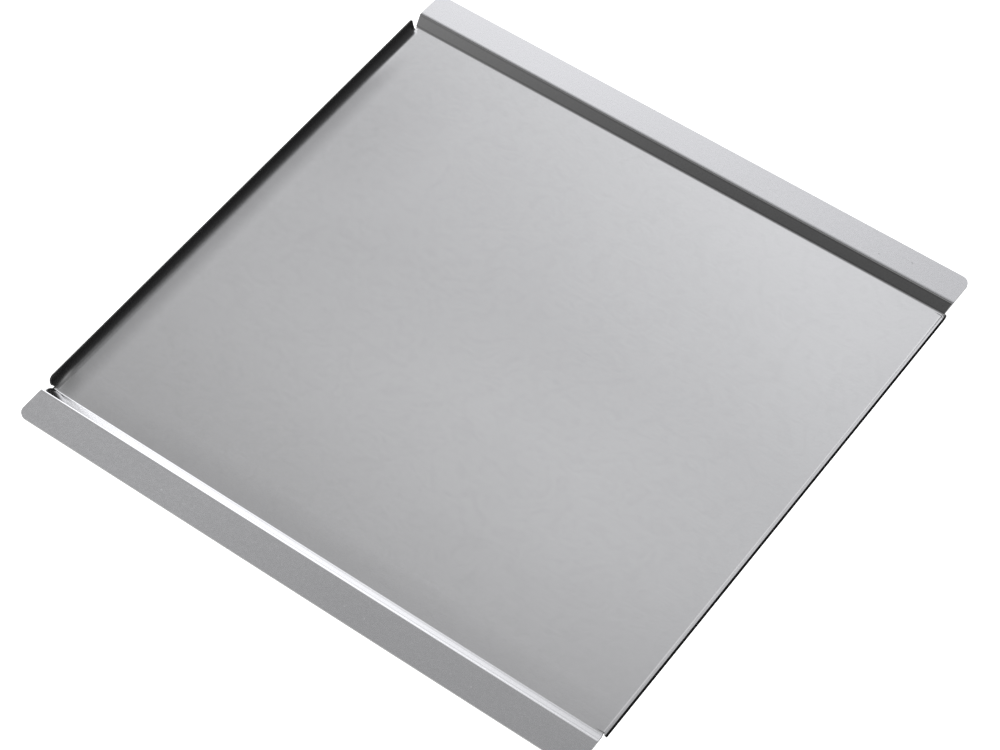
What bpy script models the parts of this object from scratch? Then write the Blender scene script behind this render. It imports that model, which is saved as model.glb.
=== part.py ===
"""Griddle plate bent from one sheet of stainless steel, modelled as its seven named panels.

The frame is in metres, +Z up. The origin is under the centre of the plate, on the underside of its floor.
X runs along the hanging flanges and Y runs across the plate, from the front flange to the rear one.
"""

import math

import bmesh
import bpy

# Driving dimensions
SHEET = 0.0015  # thickness of the stainless steel sheet
WELL_DEPTH = 0.0050  # from the top of the flanges down to the top of the floor
FLOOR_LENGTH = 0.3870  # flat floor along X, twice as long as from the middle to the softer lip's bend
FLOOR_WIDTH = 0.3550  # flat floor along Y, between the foot bends of the risers
WELL_WIDTH = 0.3705  # along Y, between the inner edges of the flat flanges
FLANGE_LENGTH = 0.4000  # along X
FLANGE_WIDTH = 0.02125  # flat part of a flange, along Y
FLANGE_CORNER = 0.0060  # radius of a flange's two outer corners
RISER_NOTCH = 0.0020  # how far the relief cut shortens a riser's foot, at each end
FOOT_RADIUS = 0.0012  # inside radius of the bend at a riser's foot
SHOULDER_RADIUS = 0.0018  # outside radius of the bend at a riser's top
LIP_HEIGHT = 0.0050  # from the top of the floor to the inner edge of a lip's top
LIP_LEAN = math.radians(32)  # from upright, outwards
LIP_FOLD = 0.1979  # from the middle to where floor and lip would meet without a bend
TIP_CORNER = 0.0010  # radius of the top corner at a lip's pointed end
CORNER_SLIT = 0.0008  # width of the relief slit between a lip and a riser's foot
SLIT_START = 0.1962  # from the middle to the slit's inner end
SLIT_FLARE = 0.0080  # how much longer than at its foot a lip may be at its top, to stay clear of the riser
PANEL_GAP = 0.0003  # between two neighbouring panels
BEND_MARGIN = 0.0010  # flat run that a bent panel keeps beside its bend

# Each lip has one rounded end and one pointed end, and the right lip is the longer one. The lengths are
# from the middle of the plate: to the rounded end, and to the pointed end at its foot and at its top. The
# left lip's bend is much softer than the right one's. The radius is the bend's inside radius.
LEFT_LIP = {"radius": 0.0080, "round_end": 0.1777, "corner": 0.0052, "foot": 0.1750, "tip": 0.1777}
RIGHT_LIP = {"radius": 0.0020, "round_end": 0.1797, "corner": 0.0095, "foot": 0.1776, "tip": 0.1800}

ARC_STEPS = 6  # segments in a bend
CORNER_STEPS = 10  # segments in a rounded corner
ROUNDED_SHARE = 0.95  # of a lip's flat, the most that the segments of its rounded end may take

# Derived places
FLOOR_TOP = SHEET
FLANGE_TOP = FLOOR_TOP + WELL_DEPTH
FLOOR_SEAM_X = FLOOR_LENGTH / 2 - BEND_MARGIN
FLOOR_SEAM_Y = FLOOR_WIDTH / 2 - BEND_MARGIN
FLANGE_SEAM_Y = WELL_WIDTH / 2 + BEND_MARGIN
FLANGE_EDGE_Y = WELL_WIDTH / 2 + FLANGE_WIDTH
RISER_START_Y = FLOOR_SEAM_Y + PANEL_GAP / 2
LIP_START_X = FLOOR_SEAM_X + PANEL_GAP / 2


def clear_scene():
    for obj in list(bpy.data.objects):
        bpy.data.objects.remove(obj, do_unlink=True)


def steel(name, colour, roughness):
    material = bpy.data.materials.new(name)
    material.use_nodes = True
    shader = material.node_tree.nodes["Principled BSDF"]
    shader.inputs["Base Color"].default_value = (*colour, 1.0)
    shader.inputs["Metallic"].default_value = 1.0
    shader.inputs["Roughness"].default_value = roughness
    return material


def arc(centre, radius, start, end, steps):
    """Points on an arc in a profile's plane, with both ends, from angle start to angle end."""
    points = []
    for step in range(steps + 1):
        angle = start + (end - start) * step / steps
        points.append((centre[0] + radius * math.cos(angle), centre[1] + radius * math.sin(angle)))
    return points


def riser_slope():
    """Slope of a riser's flat from level: its two bends and its flat together climb WELL_DEPTH in their run."""
    run = (WELL_WIDTH - FLOOR_WIDTH) / 2
    bends = FOOT_RADIUS + SHOULDER_RADIUS
    slope = math.atan2(WELL_DEPTH, run)
    for _ in range(30):
        slope = math.atan2(WELL_DEPTH, run - bends * math.tan(slope / 2))
    return slope


def riser_profile():
    """Top surface of a riser, as (distance from the middle of the plate, height), from its foot outwards."""
    slope = riser_slope()
    foot = (FLOOR_WIDTH / 2, FLOOR_TOP + FOOT_RADIUS)
    shoulder = (WELL_WIDTH / 2, FLANGE_TOP - SHOULDER_RADIUS)
    up = math.pi / 2
    profile = [(RISER_START_Y, FLOOR_TOP)]
    profile += arc(foot, FOOT_RADIUS, -up, -up + slope, ARC_STEPS)
    profile += arc(shoulder, SHOULDER_RADIUS, up + slope, up, ARC_STEPS)
    profile.append((FLANGE_SEAM_Y - PANEL_GAP / 2, FLANGE_TOP))
    return profile


def lip_profile(radius, corner):
    """Top surface of a side lip, as (distance from the middle of the plate, height), from the floor outwards.

    The flat above the bend has its points where a rounded end of this radius needs them.
    """
    centre = (LIP_FOLD - radius * math.tan((math.pi / 2 - LIP_LEAN) / 2), FLOOR_TOP + radius)
    bend = arc(centre, radius, -math.pi / 2, -LIP_LEAN, ARC_STEPS)
    out, height = bend[-1]
    flat = (FLOOR_TOP + LIP_HEIGHT - height) / math.cos(LIP_LEAN)
    depth = min(corner, flat * ROUNDED_SHARE)
    profile = [(LIP_START_X, FLOOR_TOP)] + bend
    for step in range(CORNER_STEPS + 1):
        along = flat - depth * (1 - math.sin(math.pi / 2 * step / CORNER_STEPS))
        profile.append((out + along * math.sin(LIP_LEAN), height + along * math.cos(LIP_LEAN)))
    return profile


def rounded(from_edge, radius):
    """How much a corner of this radius shortens a strip, this far from the strip's free edge."""
    into_corner = min(max(radius - from_edge, 0.0), radius)
    return radius - math.sqrt(radius**2 - into_corner**2)


def strip(name, stations, material):
    """A bent strip of sheet that runs along X. Each station is (distance out, height, length to -X, to +X).

    The mesh is the strip's top surface, and Solidify gives it the sheet's thickness below.
    """
    mesh = bpy.data.meshes.new(name)
    bm = bmesh.new()
    rows = []
    for out, height, back, ahead in stations:
        rows.append((bm.verts.new((-back, out, height)), bm.verts.new((ahead, out, height))))
    for (a, b), (c, d) in zip(rows, rows[1:]):
        bm.faces.new((a, b, d, c))
    bm.to_mesh(mesh)
    bm.free()
    mesh.shade_smooth()
    mesh.set_sharp_from_angle(angle=math.radians(35))
    mesh.materials.append(material)
    return mesh


def place(name, mesh, turn):
    """A panel as an object: its mesh turned about the plate's upright axis."""
    panel = bpy.data.objects.new(name, mesh)
    bpy.context.scene.collection.objects.link(panel)
    panel.rotation_euler.z = turn
    sheet = panel.modifiers.new("sheet", "SOLIDIFY")
    sheet.thickness = SHEET
    sheet.offset = -1.0
    sheet.use_even_offset = True
    return panel


def floor_mesh(material):
    half_x = FLOOR_SEAM_X - PANEL_GAP / 2
    half_y = FLOOR_SEAM_Y - PANEL_GAP / 2
    stations = [(-half_y, FLOOR_TOP, half_x, half_x), (half_y, FLOOR_TOP, half_x, half_x)]
    return strip("floor", stations, material)


def riser_mesh(material):
    stations = []
    for out, height in riser_profile():
        below_shoulder = (FLANGE_TOP - height) / WELL_DEPTH
        half = FLANGE_LENGTH / 2 - RISER_NOTCH * below_shoulder**8
        stations.append((out, height, half, half))
    return strip("riser", stations, material)


def flange_mesh(material):
    stations = [(FLANGE_SEAM_Y + PANEL_GAP / 2, FLANGE_TOP, FLANGE_LENGTH / 2, FLANGE_LENGTH / 2)]
    for step in range(CORNER_STEPS + 1):
        from_edge = FLANGE_CORNER * (1 - math.sin(math.pi / 2 * step / CORNER_STEPS))
        half = FLANGE_LENGTH / 2 - rounded(from_edge, FLANGE_CORNER)
        stations.append((FLANGE_EDGE_Y - from_edge, FLANGE_TOP, half, half))
    return strip("flange", stations, material)


def lip_mesh(lip, material):
    """A side lip, with its rounded end towards -X and its pointed end towards +X."""
    stations = []
    for out, height in lip_profile(lip["radius"], lip["corner"]):
        climbed = (height - FLOOR_TOP) / LIP_HEIGHT
        from_edge = (1 - climbed) * LIP_HEIGHT / math.cos(LIP_LEAN)
        if out < SLIT_START:
            stations.append((out, height, RISER_START_Y - PANEL_GAP, RISER_START_Y - PANEL_GAP))
            continue
        clear_of_riser = RISER_START_Y - CORNER_SLIT + SLIT_FLARE * climbed**2
        round_end = lip["round_end"] - rounded(from_edge, lip["corner"])
        pointed_end = lip["foot"] + (lip["tip"] - lip["foot"]) * climbed - rounded(from_edge, TIP_CORNER)
        stations.append((out, height, min(round_end, clear_of_riser), min(pointed_end, clear_of_riser)))
    return strip("lip", stations, material)


def build():
    clear_scene()
    floor_steel = steel("floor_steel", (0.62, 0.62, 0.63), 0.24)
    edge_steel = steel("edge_steel", (0.60, 0.60, 0.61), 0.32)
    riser = riser_mesh(edge_steel)
    flange = flange_mesh(edge_steel)
    place("floor_plate", floor_mesh(floor_steel), 0.0)
    place("rear_riser", riser, 0.0)
    place("front_riser", riser, math.pi)
    place("rear_flange", flange, 0.0)
    place("front_flange", flange, math.pi)
    place("left_lip", lip_mesh(LEFT_LIP, edge_steel), math.pi / 2)
    place("right_lip", lip_mesh(RIGHT_LIP, edge_steel), -math.pi / 2)


build()
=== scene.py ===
"""Looks of the griddle plate: one folded sheet of stainless steel, in seven panels that meet without a seam.

Every place is in metres in the row's frame. X runs along the hanging flanges, Y from front to rear, Z up.
"""

import math

import bmesh
import bpy
from mathutils import Matrix, Vector


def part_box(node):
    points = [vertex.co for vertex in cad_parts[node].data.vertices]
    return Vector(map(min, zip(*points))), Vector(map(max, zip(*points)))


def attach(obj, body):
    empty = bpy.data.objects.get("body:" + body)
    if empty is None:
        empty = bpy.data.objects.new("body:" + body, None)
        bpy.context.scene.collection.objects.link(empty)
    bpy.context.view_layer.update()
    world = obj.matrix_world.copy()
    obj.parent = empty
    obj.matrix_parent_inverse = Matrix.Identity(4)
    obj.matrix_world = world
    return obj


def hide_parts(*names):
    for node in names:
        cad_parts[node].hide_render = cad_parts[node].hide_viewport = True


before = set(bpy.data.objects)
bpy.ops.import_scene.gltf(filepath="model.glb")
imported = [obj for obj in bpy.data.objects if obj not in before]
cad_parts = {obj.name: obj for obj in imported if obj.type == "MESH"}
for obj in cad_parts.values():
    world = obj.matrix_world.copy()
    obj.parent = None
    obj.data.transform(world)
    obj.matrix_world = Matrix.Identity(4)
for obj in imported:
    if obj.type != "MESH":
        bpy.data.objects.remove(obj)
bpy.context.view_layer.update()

# The sheet, from the frame
FLOOR_LOW, FLOOR_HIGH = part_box("floor_plate")
RISER_LOW, RISER_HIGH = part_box("rear_riser")
FLANGE_LOW, FLANGE_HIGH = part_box("rear_flange")
RIGHT_LIP_LOW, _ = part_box("right_lip")
SHEET = FLOOR_HIGH.z - FLOOR_LOW.z
FLOOR_TOP = FLOOR_HIGH.z
FLANGE_TOP = FLANGE_HIGH.z
WELL_DEPTH = FLANGE_TOP - FLOOR_TOP
FLANGE_HALF = FLANGE_HIGH.x  # half of a flange's length
FLANGE_EDGE = FLANGE_HIGH.y  # from the middle of the plate to a flange's outer edge
FLOOR_SEAM_X = (FLOOR_HIGH.x + RIGHT_LIP_LOW.x) / 2  # from the middle to where floor and lips meet
FLOOR_SEAM_Y = (FLOOR_HIGH.y + RISER_LOW.y) / 2  # the same for floor and risers
FLANGE_SEAM_Y = (RISER_HIGH.y + FLANGE_LOW.y) / 2  # the same for risers and flanges

# Bends and cuts, the same as the frame's apart from the slit, which is half as wide here
BEND_MARGIN = 0.0010  # flat run between a seam and the bend beside it
FOOT_LINE = FLOOR_SEAM_Y + BEND_MARGIN
SHOULDER_LINE = FLANGE_SEAM_Y - BEND_MARGIN
FOOT_RADIUS = 0.0012
SHOULDER_RADIUS = 0.0018
LIP_FOLD = 0.1979  # from the middle to where floor and lip would meet without a bend
LIP_LEAN = math.radians(32)  # from upright, outwards
LIP_HEIGHT = 0.0050  # from the top of the floor to the inner edge of a lip's top
FLANGE_CORNER = 0.0060  # radius of a flange's two outer corners
RISER_NOTCH = 0.0020  # how far the relief cut shortens a riser's foot, at each end
TIP_CORNER = 0.0010  # radius of the top corner at a lip's pointed end
CORNER_SLIT = 0.0004  # width of the relief slit between a lip and a riser's foot
SLIT_FLARE = 0.0080  # how much longer than at its foot a lip may be at its top
SLIT_START = 0.1962  # from the middle to the slit's inner end
ROUNDED_SHARE = 0.95  # of a lip's flat, the most that its rounded end may take
EDGE_ROUNDING = 0.00022  # radius of the deburred edges of the sheet

# Each lip's bend radius, and how far its rounded and its pointed end are from the middle of the plate
LEFT_LIP = {"radius": 0.0080, "round_end": 0.1777, "corner": 0.0052, "foot": 0.1750, "tip": 0.1777}
RIGHT_LIP = {"radius": 0.0020, "round_end": 0.1797, "corner": 0.0095, "foot": 0.1776, "tip": 0.1800}

# How the flanges hang, which twists them at their left ends. A ramp is (where it starts, where it ends).
DROOP = math.radians(1.2)  # below level
REAR_TWIST = math.radians(1.2)  # how much more the rear flange hangs at its left end
FRONT_TWIST = math.radians(-1.0)  # the same for the front flange, which hangs less there
TWIST_RAMP = (-0.06, 0.19)  # from the middle of the plate towards the left

# How the left lip's fold starts, softly at most places and tightly at its rear end
EASE_START = 0.1830  # from the middle to where the floor starts to climb towards the left lip
EASE_CLIMB = 0.0006  # how far it has climbed where the lip's bend starts
EASE_END = 0.0030  # how far into the bend the extra climb runs out
EASE_FRONT_RAMP = (-0.175, -0.160)  # along Y, where the climb comes in
EASE_REAR_RAMP = (0.115, 0.165)  # along Y, where it goes out again
TIGHT_LENGTH = 0.0070  # how long the tight rear end is
TIGHT_RADIUS = 0.0005
TIGHT_RAMP = (-0.005, -0.003)  # beyond the fold, where the tight bend takes over
TIGHT_TOP = 6  # the power that brings the tight bend back to plain at the lip's top

# How finely the panels are made
BEND_STEPS = 14
CORNER_STEPS = 16
FLANGE_STEPS = 8
LENGTH_STEPS = 110
FLOOR_STEP = 0.0025
END_CROWDING = 0.9  # how much closer together the steps are at a strip's ends, from 0 to 1

# Materials of a riser, by number. Every other panel has the steel of its cut edges at the same number.
BEND, CUT, FLOOR, FLANGE = range(4)
FOOT_OVERLAP = 0.0001  # how far the bends' steel reaches past a riser's foot onto the floor
REAR_SHOULDER_OVERLAP = 0.0007  # how far the flange's steel reaches down over the riser's shoulder
FRONT_SHOULDER_OVERLAP = 0.0001

# Painted shade: a darker band beside the left lip's bend, by its ramps along X and Y and up the sheet
FOLD_DARKNESS = 0.27
BAND_INNER_RAMP = (-0.180, -0.192)
BAND_OUTER_RAMP = (-0.1950, -0.1935)
BAND_REAR_RAMP = (0.165, 0.120)
BAND_FRONT_RAMP = (-0.1775, -0.1765)
BAND_TOP_RAMP = (0.0009, 0.0013)  # leaves out the sheet's underside

# Painted light and shade on the steel, as (x, y, length, width, turn in degrees, shade in the middle)
FLANGE_SPOTS = [
    # Painted highlights along the front flange's outer edge
    (-0.097, -0.198, 0.0016, 0.0016, 0, 1.25),
    (-0.081, -0.198, 0.0012, 0.0012, 0, 1.25),
    (0.036, -0.198, 0.0012, 0.0012, 0, 1.30),
    (0.050, -0.198, 0.0014, 0.0014, 0, 1.30),
    (0.110, -0.198, 0.0012, 0.0012, 0, 1.25),
    (0.124, -0.198, 0.0012, 0.0012, 0, 1.30),
    # Painted shade: darker spots near the rear flange's outer edge
    (0.144, 0.191, 0.0018, 0.0014, 0, 0.75),
    (0.164, 0.197, 0.0026, 0.0014, -20, 0.78),
    (0.156, 0.197, 0.0180, 0.0007, 4, 0.94),
    (0.110, -0.197, 0.4000, 0.0800, 0, 0.90),  # painted shade: the front flange's duller right half
]
# Painted light and shade on the floor: a lighter middle, and a darker front edge and rear left corner
FLOOR_SPOTS = [
    (0.030, -0.072, 0.600, 0.200, 0, 1.09),
    (0.000, -0.1775, 0.900, 0.045, 0, 0.91),
    (-0.185, 0.100, 0.140, 0.160, 0, 0.93),
]
# Painted light makes the right lip's face brighter than the floor, and painted shade makes the left lip's
# duller
LIP_SPOTS = [
    (0.1997, 0.000, 0.0048, 1.600, 0, 1.40),
    (-0.2005, 0.000, 0.0064, 1.600, 0, 0.55),
]
# Painted shade: two faint darker lines along the front riser, beside its foot and below its shoulder
FRONT_LINES = [
    (0.090, -0.1785, 0.600, 0.0030, 0, 0.78),
    (0.090, -0.1829, 0.600, 0.0012, 0, 0.80),
]
# Painted shade: a darker line along each of the rear riser's bends
REAR_FOOT_LINE = (0.000, 0.1779, 1.600, 0.0024, 0, 0.60)
REAR_SHOULDER_LINE = (0.000, 0.1850, 1.600, 0.0034, 0, 0.52)
SPOT_CORE = 0.3  # how much of a spot, from its middle outwards, has its full shade

# Studio light: soft panels that add light and dark cloths that take it away. A panel is
# (compass, elevation, inner radius, outer radius, red, green, blue) and a cloth ends with its darkness
# instead. Angles are in degrees.
ROOM = (0.67, 0.67, 0.67)
SOFT_PANELS = [
    (-69, -6, 52, 59, 0.16, 0.16, 0.17),
    (5, 11, 14, 69, 1.56, 1.57, 1.63),
]
DARK_CLOTHS = [
    (34, 23, 37, 58, 0.97),
    (-162, 39, 9, 23, 0.92),
    (-6, 68, 8, 13, 0.67),
    (-77, 56, 26, 32, 0.35),
]
STAGE_GLOW = 1.5  # strength of the white floor and of the backdrop
GROUND_RADIUS = 9.0
GROUND_DROP = 0.0004  # below the plate's underside
DOME_RADIUS = 12.0

# Camera
CAMERA_PLACE = (0.64104, -0.87002, 1.45878)
CAMERA_TURN = (36.104, 0.178, 36.193)  # degrees about X, Y and Z
CAMERA_LENS = 109.79  # millimetres
CAMERA_SENSOR = 36.0  # millimetres, the sensor's width


def arc(centre, radius, start, end, steps):
    """Points on an arc in a profile's plane, with both ends, from angle start to angle end."""
    points = []
    for step in range(steps + 1):
        angle = start + (end - start) * step / steps
        points.append((centre[0] + radius * math.cos(angle), centre[1] + radius * math.sin(angle)))
    return points


def towards_edge(depth):
    """Distances from a free edge, from depth down to 0, as an arc's even steps give them."""
    return [depth * (1 - math.sin(math.pi / 2 * step / CORNER_STEPS)) for step in range(CORNER_STEPS + 1)]


def rounded(from_edge, radius):
    """How much a corner of this radius shortens a strip, this far from the strip's free edge."""
    into_corner = min(max(radius - from_edge, 0.0), radius)
    return radius - math.sqrt(radius**2 - into_corner**2)


def bend_start(lip):
    """From the middle of the plate to where a lip's bend starts."""
    return LIP_FOLD - lip["radius"] * math.tan((math.pi / 2 - LIP_LEAN) / 2)


def ramp(value, start, end):
    """0 before start, 1 beyond end, and smooth between them."""
    share = min(max((value - start) / (end - start), 0.0), 1.0)
    return share * share * (3 - 2 * share)


def left_fold(x, y, height):
    """How much the sheet at this place lies above its plain shape, beside and on the left lip.

    Most of the fold starts softly, with a slow climb of the floor. Its rear end is tight instead.
    """
    ahead = -x - EASE_START
    if ahead <= 0:
        return 0.0
    run = bend_start(LEFT_LIP) - EASE_START
    climb = EASE_CLIMB * min(ahead / run, 1.0)**2
    beyond = min(max(ahead - run, 0.0), EASE_END)
    climb += 2 * EASE_CLIMB / run * (beyond - beyond**2 / (2 * EASE_END))
    soft = (1 - ramp(y, *EASE_REAR_RAMP)) * ramp(y, *EASE_FRONT_RAMP)
    plain = min(max(height - FLOOR_TOP, 0.0), LIP_HEIGHT)
    past = -x - LIP_FOLD
    tight = (past + math.hypot(past, TIGHT_RADIUS)) / (2 * math.tan(LIP_LEAN))
    share = ramp(y, LEFT_LIP["tip"] - TIGHT_LENGTH, LEFT_LIP["foot"])
    share *= ramp(past, *TIGHT_RAMP) * (1 - (plain / LIP_HEIGHT)**TIGHT_TOP)
    return climb * soft * (1 - plain / LIP_HEIGHT) + (tight - plain) * share


def flange_twist(x, y, height):
    """How much higher a place on a flange is than its plain shape, at any height, because of its twist."""
    angle = REAR_TWIST if y > 0 else FRONT_TWIST
    return -max(abs(y) - FLANGE_SEAM_Y, 0.0) * math.tan(angle * ramp(-x, *TWIST_RAMP))


def riser_slope():
    """Slope of a riser's flat from level, so that bends and flat together climb WELL_DEPTH in their run."""
    run = SHOULDER_LINE - FOOT_LINE
    bends = FOOT_RADIUS + SHOULDER_RADIUS
    slope = math.atan2(WELL_DEPTH, run)
    for _ in range(30):
        slope = math.atan2(WELL_DEPTH, run - bends * math.tan(slope / 2))
    return slope


def riser_profile():
    """Top surface of a riser, as (distance out, height), from the floor's seam to the flange's."""
    slope = riser_slope()
    foot = (FOOT_LINE, FLOOR_TOP + FOOT_RADIUS)
    shoulder = (SHOULDER_LINE, FLANGE_TOP - SHOULDER_RADIUS)
    up = math.pi / 2
    profile = [(FLOOR_SEAM_Y, FLOOR_TOP)]
    profile += arc(foot, FOOT_RADIUS, -up, -up + slope, BEND_STEPS)
    profile += arc(shoulder, SHOULDER_RADIUS, up + slope, up - DROOP, BEND_STEPS)
    out, height = profile[-1]
    profile.append((FLANGE_SEAM_Y, height - (FLANGE_SEAM_Y - out) * math.tan(DROOP)))
    return profile


def lip_profile(lip):
    """Top surface of a lip, as (distance out, height), from the floor's seam to the lip's top."""
    centre = (bend_start(lip), FLOOR_TOP + lip["radius"])
    bend = arc(centre, lip["radius"], -math.pi / 2, -LIP_LEAN, BEND_STEPS)
    out, height = bend[-1]
    flat = (FLOOR_TOP + LIP_HEIGHT - height) / math.cos(LIP_LEAN)
    profile = [(FLOOR_SEAM_X, FLOOR_TOP)] + bend
    for from_edge in towards_edge(min(lip["corner"], flat * ROUNDED_SHARE)):
        along = flat - from_edge
        profile.append((out + along * math.sin(LIP_LEAN), height + along * math.cos(LIP_LEAN)))
    return profile


def floor_stations():
    count = round(2 * FLOOR_SEAM_Y / FLOOR_STEP)
    stations = []
    for step in range(count + 1):
        out = -FLOOR_SEAM_Y + 2 * FLOOR_SEAM_Y * step / count
        stations.append((out, FLOOR_TOP, FLOOR_SEAM_X, FLOOR_SEAM_X))
    return stations


def riser_stations():
    stations = []
    for out, height in riser_profile():
        below_shoulder = min(max((FLANGE_TOP - height) / WELL_DEPTH, 0.0), 1.0)
        half = FLANGE_HALF - RISER_NOTCH * below_shoulder**8
        stations.append((out, height, half, half))
    return stations


def flange_stations():
    start, height = riser_profile()[-1]
    straight = FLANGE_EDGE - FLANGE_CORNER - start
    outs = [start + straight * step / FLANGE_STEPS for step in range(FLANGE_STEPS)]
    outs += [FLANGE_EDGE - from_edge for from_edge in towards_edge(FLANGE_CORNER)]
    stations = []
    for out in outs:
        half = FLANGE_HALF - rounded(FLANGE_EDGE - out, FLANGE_CORNER)
        stations.append((out, height - (out - start) * math.tan(DROOP), half, half))
    return stations


def lip_stations(lip):
    stations = []
    for out, height in lip_profile(lip):
        climbed = (height - FLOOR_TOP) / LIP_HEIGHT
        from_edge = (1 - climbed) * LIP_HEIGHT / math.cos(LIP_LEAN)
        if out < SLIT_START:
            stations.append((out, height, FLOOR_SEAM_Y, FLOOR_SEAM_Y))
            continue
        clear_of_riser = FLOOR_SEAM_Y - CORNER_SLIT + SLIT_FLARE * climbed**2
        round_end = lip["round_end"] - rounded(from_edge, lip["corner"])
        pointed_end = lip["foot"] + (lip["tip"] - lip["foot"]) * climbed - rounded(from_edge, TIP_CORNER)
        stations.append((out, height, min(round_end, clear_of_riser), min(pointed_end, clear_of_riser)))
    return stations


def lengthwise():
    """Shares of a strip's length, from 0 to 1, closer together near its ends."""
    shares = []
    for step in range(LENGTH_STEPS + 1):
        even = step / LENGTH_STEPS
        shares.append(even - END_CROWDING * math.sin(2 * math.pi * even) / (2 * math.pi))
    return shares


def station_normals(stations):
    """Which way the top surface faces at each station, as (out, up): halfway between the runs beside it."""
    runs = []
    for before, after in zip(stations, stations[1:]):
        runs.append(Vector((after[0] - before[0], after[1] - before[1])).normalized())
    normals = []
    for before, after in zip(runs[:1] + runs, runs + runs[-1:]):
        run = (before + after).normalized()
        normals.append((-run.y, run.x))
    return normals


def surface_rows(bm, stations, turn, lift):
    """The points of the sheet's top and bottom, each as one row along X for every station."""
    tops = []
    bottoms = []
    east, north = math.cos(turn), math.sin(turn)
    for (out, height, back, ahead), (lean, rise) in zip(stations, station_normals(stations)):
        top_row = []
        bottom_row = []
        for share in lengthwise():
            x = -back + (back + ahead) * share
            extra = lift(x * east - out * north, x * north + out * east, height) if lift else 0.0
            top_row.append(bm.verts.new((x, out, height + extra)))
            bottom_row.append(bm.verts.new((x, out - lean * SHEET, height + extra - rise * SHEET)))
        tops.append(top_row)
        bottoms.append(bottom_row)
    return tops, bottoms


def zone_at(out, zones):
    """Material number of the last zone that starts before this distance out."""
    number = 0
    for start, zone_number in zones:
        if out > start:
            number = zone_number
    return number


def close_sides(bm, tops, bottoms, free_sides):
    """Faces along the four sides. On a free side, which is cut, they show the cut and get soft corners."""
    weight = bm.edges.layers.float["bevel_weight_edge"]
    sides = {
        "start": (tops[0], bottoms[0]),
        "end": (tops[-1][::-1], bottoms[-1][::-1]),
        "low": ([row[0] for row in tops][::-1], [row[0] for row in bottoms][::-1]),
        "high": ([row[-1] for row in tops], [row[-1] for row in bottoms]),
    }
    for side, (upper, lower) in sides.items():
        for k in range(len(upper) - 1):
            face = bm.faces.new((upper[k + 1], upper[k], lower[k], lower[k + 1]))
            if side in free_sides:
                face.material_index = CUT
                bm.edges.get((upper[k], upper[k + 1]))[weight] = 1.0
                bm.edges.get((lower[k], lower[k + 1]))[weight] = 1.0


def strip(name, stations, free_sides, turn, materials, lift=None, zones=()):
    """A panel of the sheet as a closed solid, turned about the plate's upright axis.

    Each station is (distance out, height, length to -X, length to +X), and the strip runs across X between
    them. free_sides says which sides are cut edges of the sheet: any of start, end, low and high. Lift says
    how much higher than its station a place lies. Each zone is (distance out where it starts, material
    number).
    """
    bm = bmesh.new()
    bm.edges.layers.float.new("bevel_weight_edge")
    tops, bottoms = surface_rows(bm, stations, turn, lift)
    for i in range(len(tops) - 1):
        number = zone_at(stations[i][0], zones)
        for j in range(LENGTH_STEPS):
            face = bm.faces.new((tops[i][j], tops[i][j + 1], tops[i + 1][j + 1], tops[i + 1][j]))
            face.material_index = number
            bm.faces.new((bottoms[i][j], bottoms[i + 1][j], bottoms[i + 1][j + 1], bottoms[i][j + 1]))
    close_sides(bm, tops, bottoms, free_sides)
    for face in bm.faces:
        face.smooth = True
    mesh = bpy.data.meshes.new(name)
    bm.to_mesh(mesh)
    bm.free()
    mesh.set_sharp_from_angle(angle=math.radians(40))
    for material in materials:
        mesh.materials.append(material)
    panel = bpy.data.objects.new(name, mesh)
    bpy.context.scene.collection.objects.link(panel)
    mesh.transform(Matrix.Rotation(turn, 4, "Z"))
    soften_edges(panel)
    return panel


def soften_edges(panel):
    bevel = panel.modifiers.new("deburred_edges", "BEVEL")
    bevel.limit_method = "WEIGHT"
    bevel.width = EDGE_ROUNDING
    bevel.segments = 3
    bevel.use_clamp_overlap = True
    normals = panel.modifiers.new("flat_faces_stay_flat", "WEIGHTED_NORMAL")
    normals.keep_sharp = True


def add(tree, kind, inputs=None, **settings):
    """A shader node of this kind. Its inputs, by name or number, are values or other nodes' outputs."""
    made = tree.nodes.new("ShaderNode" + kind)
    for name, value in settings.items():
        setattr(made, name, value)
    for key, value in (inputs or {}).items():
        socket = made.inputs[key]
        if isinstance(value, bpy.types.NodeSocket):
            tree.links.new(value, socket)
        else:
            socket.default_value = value
    return made


def noise(tree, place, scale, detail, stretch=(1, 1, 1)):
    """Noise from 0 to 1 with this many spots to the metre."""
    mapping = add(tree, "Mapping", {"Vector": place, "Scale": stretch})
    made = add(tree, "TexNoise", {"Vector": mapping.outputs[0], "Scale": scale, "Detail": detail})
    return made.outputs["Fac"]


def remap(tree, value, low, high, to_low, to_high, kind="LINEAR"):
    limits = {"Value": value, 1: low, 2: high, 3: to_low, 4: to_high}
    made = add(tree, "MapRange", limits, interpolation_type=kind)
    return made.outputs[0]


def combine(tree, operation, first, *others):
    """All the values joined by one operation, in their order."""
    total = first
    for other in others:
        total = add(tree, "Math", {0: total, 1: other}, operation=operation).outputs[0]
    return total


def painted_spots(tree, place, spots):
    """Painted light and shade: 1 outside each spot (x, y, length, width, turn, shade), with shade in its
    middle.
    """
    total = 1.0
    for x, y, length, width, turn, shade in spots:
        moved = add(tree, "VectorMath", {0: place, 1: (x, y, 0)}, operation="SUBTRACT").outputs[0]
        turned = add(tree, "VectorRotate", {"Vector": moved, "Angle": -math.radians(turn)},
                     rotation_type="Z_AXIS").outputs[0]
        flat = add(tree, "VectorMath", {0: turned, 1: (2 / length, 2 / width, 0)}, operation="MULTIPLY")
        middle = add(tree, "VectorMath", {0: flat.outputs[0]}, operation="LENGTH").outputs["Value"]
        total = combine(tree, "MULTIPLY", total, remap(tree, middle, SPOT_CORE, 1.0, shade, 1.0))
    return total


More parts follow.
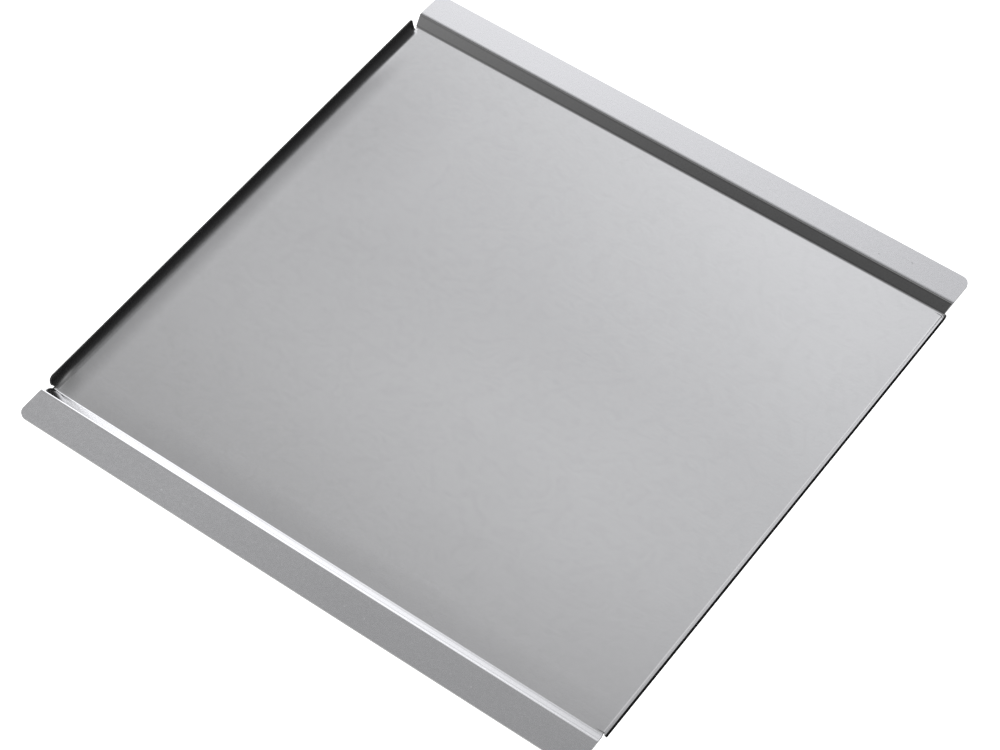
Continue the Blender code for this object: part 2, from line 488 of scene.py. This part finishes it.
def fold_shade(tree, place):
    """Painted shade: the steel's top is darker in a band beside the left lip's bend, which fades before the
    rear end.
    """
    where = add(tree, "SeparateXYZ", {0: place}).outputs
    inner = remap(tree, where[0], *BAND_INNER_RAMP, 0.0, 1.0, "SMOOTHSTEP")
    outer = remap(tree, where[0], *BAND_OUTER_RAMP, 0.0, 1.0, "SMOOTHSTEP")
    rear = remap(tree, where[1], *BAND_REAR_RAMP, 0.0, 1.0, "SMOOTHSTEP")
    front = remap(tree, where[1], *BAND_FRONT_RAMP, 0.0, 1.0)
    top = remap(tree, where[2], *BAND_TOP_RAMP, 0.0, 1.0)
    band = combine(tree, "MULTIPLY", inner, outer, rear, front, top)
    return remap(tree, band, 0.0, 1.0, 1.0, 1.0 - FOLD_DARKNESS)


def steel(name, tint, roughness, mottle, bumps, smudge=0.0, spots=()):
    """Cold-rolled stainless steel. Mottle is how strongly its fine grain shows, smudge its wiped patches."""
    material = bpy.data.materials.new(name)
    material.use_nodes = True
    tree = material.node_tree
    shader = tree.nodes["Principled BSDF"]
    shader.inputs["Metallic"].default_value = 1.0
    place = add(tree, "TexCoord").outputs["Object"]
    grain = noise(tree, place, 520, 3.0)
    clouds = noise(tree, place, 14, 2.0)
    rolled = noise(tree, place, 700, 2.0, stretch=(0.03, 1, 1))  # streaks along X
    mottled = remap(tree, grain, 0.3, 0.7, -mottle, mottle)
    clouded = remap(tree, clouds, 0.3, 0.7, -0.008, 0.008)
    streaked = remap(tree, rolled, 0.3, 0.7, -0.006, 0.006)
    shade = combine(tree, "ADD", mottled, clouded, streaked, 1.0)
    if smudge:
        wiped = add(tree, "TexNoise", {"Vector": place, "Scale": 55, "Detail": 4.0, "Distortion": 2.5})
        shade = combine(tree, "ADD", shade, remap(tree, wiped.outputs["Fac"], 0.45, 0.75, 0.0, -smudge))
    # Painted light and shade: the spots, and the darker band beside the left lip's bend
    shade = combine(tree, "MULTIPLY", shade, painted_spots(tree, place, spots), fold_shade(tree, place))
    colour = add(tree, "VectorMath", {0: tint, "Scale": shade}, operation="SCALE").outputs[0]
    tree.links.new(colour, shader.inputs["Base Color"])
    tree.links.new(combine(tree, "ADD", mottled, roughness), shader.inputs["Roughness"])
    bump = add(tree, "Bump", {"Height": grain, "Strength": bumps, "Distance": 0.0002})
    tree.links.new(bump.outputs[0], shader.inputs["Normal"])
    return material


def flat_steel(name, spots):
    """The steel of the floor and the lips."""
    return steel(name, (0.62, 0.62, 0.625), 0.18, 0.010, 0.05, smudge=0.03, spots=spots)


def build_panels():
    floor_steel = flat_steel("floor_steel", FLOOR_SPOTS + [REAR_FOOT_LINE])
    lip_steel = flat_steel("lip_steel", FLOOR_SPOTS + LIP_SPOTS)
    flange_steel = steel("flange_steel", (0.61, 0.61, 0.62), 0.26, 0.030, 0.05,
                         spots=FLANGE_SPOTS + [REAR_SHOULDER_LINE])
    bend_steel = steel("bend_steel", (0.61, 0.61, 0.615), 0.12, 0.006, 0.0,
                       spots=FRONT_LINES + [REAR_FOOT_LINE, REAR_SHOULDER_LINE])
    cut_steel = steel("cut_steel", (0.30, 0.30, 0.30), 0.45, 0.05, 0.05)
    dark_cut_steel = steel("dark_cut_steel", (0.04, 0.04, 0.04), 0.5, 0.05, 0.05)
    riser_steels = [bend_steel, cut_steel, floor_steel, flange_steel]

    floor = strip("floor_sheet", floor_stations(), (), 0.0, [floor_steel, cut_steel], left_fold)
    made = [(floor, "floor_plate")]
    ends = [("rear", 0.0, REAR_SHOULDER_OVERLAP), ("front", math.pi, FRONT_SHOULDER_OVERLAP)]
    for side, turn, overlap in ends:
        zones = [(0.0, FLOOR), (FOOT_LINE - FOOT_OVERLAP, BEND), (SHOULDER_LINE - overlap, FLANGE)]
        riser = strip(side + "_riser_sheet", riser_stations(), ("low", "high"), turn,
                      riser_steels, zones=zones)
        flange = strip(side + "_flange_sheet", flange_stations(), ("low", "high", "end"), turn,
                       [flange_steel, cut_steel], flange_twist)
        made += [(riser, side + "_riser"), (flange, side + "_flange")]
    lips = [("left", LEFT_LIP, math.pi / 2, left_fold), ("right", RIGHT_LIP, -math.pi / 2, None)]
    for side, lip, turn, lift in lips:
        sheet = strip(side + "_lip_sheet", lip_stations(lip), ("low", "high", "end"), turn,
                      [lip_steel, dark_cut_steel], lift)
        made.append((sheet, side + "_lip"))
    for piece, node in made:
        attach(piece, "root")
        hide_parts(node)


def towards(compass, elevation):
    """A direction, from degrees round from +Y towards +X and degrees above level."""
    round_about = math.radians(compass)
    above = math.radians(elevation)
    return (math.sin(round_about) * math.cos(above), math.cos(round_about) * math.cos(above), math.sin(above))


def light_room():
    world = bpy.data.worlds.new("studio")
    bpy.context.scene.world = world
    world.use_nodes = True
    tree = world.node_tree
    way = add(tree, "TexCoord").outputs["Generated"]
    total = add(tree, "CombineXYZ", {0: ROOM[0], 1: ROOM[1], 2: ROOM[2]}).outputs[0]

    def patch(compass, elevation, inner, outer, outside, inside):
        """A round area of the room, with one value inside it, another outside it and a soft edge."""
        facing = add(tree, "VectorMath", {0: way, 1: towards(compass, elevation)}, operation="DOT_PRODUCT")
        return remap(tree, facing.outputs["Value"], math.cos(math.radians(outer)),
                     math.cos(math.radians(inner)), outside, inside, "SMOOTHSTEP")

    for compass, elevation, inner, outer, *colour in SOFT_PANELS:
        strength = patch(compass, elevation, inner, outer, 0.0, 1.0)
        glow = add(tree, "VectorMath", {0: tuple(colour), "Scale": strength}, operation="SCALE").outputs[0]
        total = add(tree, "VectorMath", {0: total, 1: glow}, operation="ADD").outputs[0]
    for compass, elevation, inner, outer, darkness in DARK_CLOTHS:
        strength = patch(compass, elevation, inner, outer, 1.0, 1.0 - darkness)
        total = add(tree, "VectorMath", {0: total, "Scale": strength}, operation="SCALE").outputs[0]
    tree.links.new(total, tree.nodes["Background"].inputs["Color"])


def glowing(name):
    """A white that glows on its front and can be seen through from its back."""
    material = bpy.data.materials.new(name)
    material.use_nodes = True
    tree = material.node_tree
    tree.nodes.remove(tree.nodes["Principled BSDF"])
    glow = add(tree, "Emission", {"Color": (1, 1, 1, 1), "Strength": STAGE_GLOW}).outputs[0]
    see_through = add(tree, "BsdfTransparent").outputs[0]
    behind = add(tree, "NewGeometry").outputs["Backfacing"]
    mixed = add(tree, "MixShader", {0: behind, 1: glow, 2: see_through}).outputs[0]
    tree.links.new(mixed, tree.nodes["Material Output"].inputs["Surface"])
    return material


def build_stage():
    bpy.ops.mesh.primitive_circle_add(vertices=64, radius=GROUND_RADIUS, fill_type="NGON",
                                      location=(0, 0, -GROUND_DROP))
    ground = bpy.context.object
    ground.name = "white_floor"
    ground.data.materials.append(glowing("white_floor"))
    bpy.ops.mesh.primitive_uv_sphere_add(segments=48, ring_count=24, radius=DOME_RADIUS)
    dome = bpy.context.object
    dome.name = "white_backdrop"
    dome.data.flip_normals()
    dome.data.materials.append(glowing("white_backdrop"))
    dome.visible_diffuse = False
    dome.visible_glossy = False
    dome.visible_transmission = False
    dome.visible_shadow = False


def build_camera():
    camera = bpy.data.cameras.new("camera")
    camera.sensor_width = CAMERA_SENSOR
    camera.lens = CAMERA_LENS
    camera.clip_start = 0.01
    camera.clip_end = 100.0
    placed = bpy.data.objects.new("camera", camera)
    placed.location = CAMERA_PLACE
    placed.rotation_euler = [math.radians(angle) for angle in CAMERA_TURN]
    bpy.context.scene.collection.objects.link(placed)
    bpy.context.scene.camera = placed


build_camera()
build_panels()
build_stage()
light_room()
bpy.context.scene.view_settings.view_transform = "Standard"
